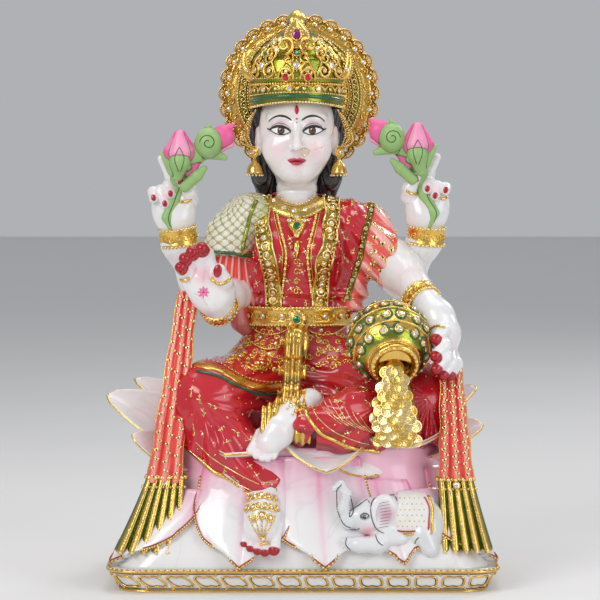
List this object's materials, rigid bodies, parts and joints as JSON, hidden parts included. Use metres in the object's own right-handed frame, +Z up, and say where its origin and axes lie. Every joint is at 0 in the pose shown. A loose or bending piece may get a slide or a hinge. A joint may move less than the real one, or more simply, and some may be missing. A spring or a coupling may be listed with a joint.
{
  "type": "hindu deity statue",
  "caption": "Painted marble shrine figure of a goddess seated on a lotus pedestal, holding lotus buds and a pot of coins.",
  "frame": {"origin": "centre of the plinth's flat underside", "axes": "+Z up; -Y is the front, towards the viewer; +X to the viewer's right, the figure's own left"},
  "size_m": [0.306, 0.2065, 0.457],
  "materials": {
    "white_marble": "polished",
    "skin_marble": "polished",
    "pink_petal": "polished",
    "red_paint": "gloss enamel",
    "coral_paint": "gloss enamel",
    "gold_leaf": "polished leaf",
    "black_paint": "gloss enamel",
    "green_paint": "gloss enamel",
    "lotus_pink": "gloss enamel",
    "cream_paint": "satin enamel",
    "elephant_grey": "polished",
    "steel": "plain"
  },
  "bodies": {
    "root": {"anklets": "gold_leaf", "coin_stream": "gold_leaf", "crown_band": "gold_leaf", "crown_dome": "gold_leaf", "crown_finial": "gold_leaf", "crown_peak": "gold_leaf", "dowels": "steel", "earrings": "gold_leaf", "elephant": "elephant_grey", "elephant_cloth": "cream_paint", "front_bangles": "gold_leaf", "front_sash": "gold_leaf", "hair": "black_paint", "halo_plate": "gold_leaf", "halo_rim": "gold_leaf", "head": "skin_marble", "hips_drape": "red_paint", "left_foot": "skin_marble", "left_front_forearm": "skin_marble", "left_front_hand": "skin_marble", "left_front_sleeve": "red_paint", "left_leg_drape": "red_paint", "left_lotus_buds": "lotus_pink", "left_lotus_stem": "green_paint", "left_rear_arm": "skin_marble", "left_rear_hand": "skin_marble", "left_scarf_tail": "coral_paint", "left_tassel": "gold_leaf", "lotus_core": "white_marble", "lotus_seat": "pink_petal", "necklace": "gold_leaf", "nose_ring": "gold_leaf", "petal_front_centre": "pink_petal", "petal_front_left": "pink_petal", "petal_front_right": "pink_petal", "petals_back": "pink_petal", "petals_corner": "pink_petal", "petals_side": "pink_petal", "plinth_gilt_rails": "gold_leaf", "plinth_slab": "white_marble", "pot_body": "gold_leaf", "pot_mouth": "gold_leaf", "rear_bangles": "gold_leaf", "right_foot": "skin_marble", "right_front_forearm": "skin_marble", "right_front_hand": "skin_marble", "right_front_sleeve": "cream_paint", "right_leg_drape": "red_paint", "right_lotus_buds": "lotus_pink", "right_lotus_stem": "green_paint", "right_rear_arm": "skin_marble", "right_rear_hand": "skin_marble", "right_scarf_tail": "coral_paint", "right_tassel": "gold_leaf", "rim_petals_back": "pink_petal", "rim_petals_front": "pink_petal", "rim_petals_side": "pink_petal", "stole_borders": "gold_leaf", "torso": "red_paint", "waist_belt": "gold_leaf"}
  },
  "joints": []
}
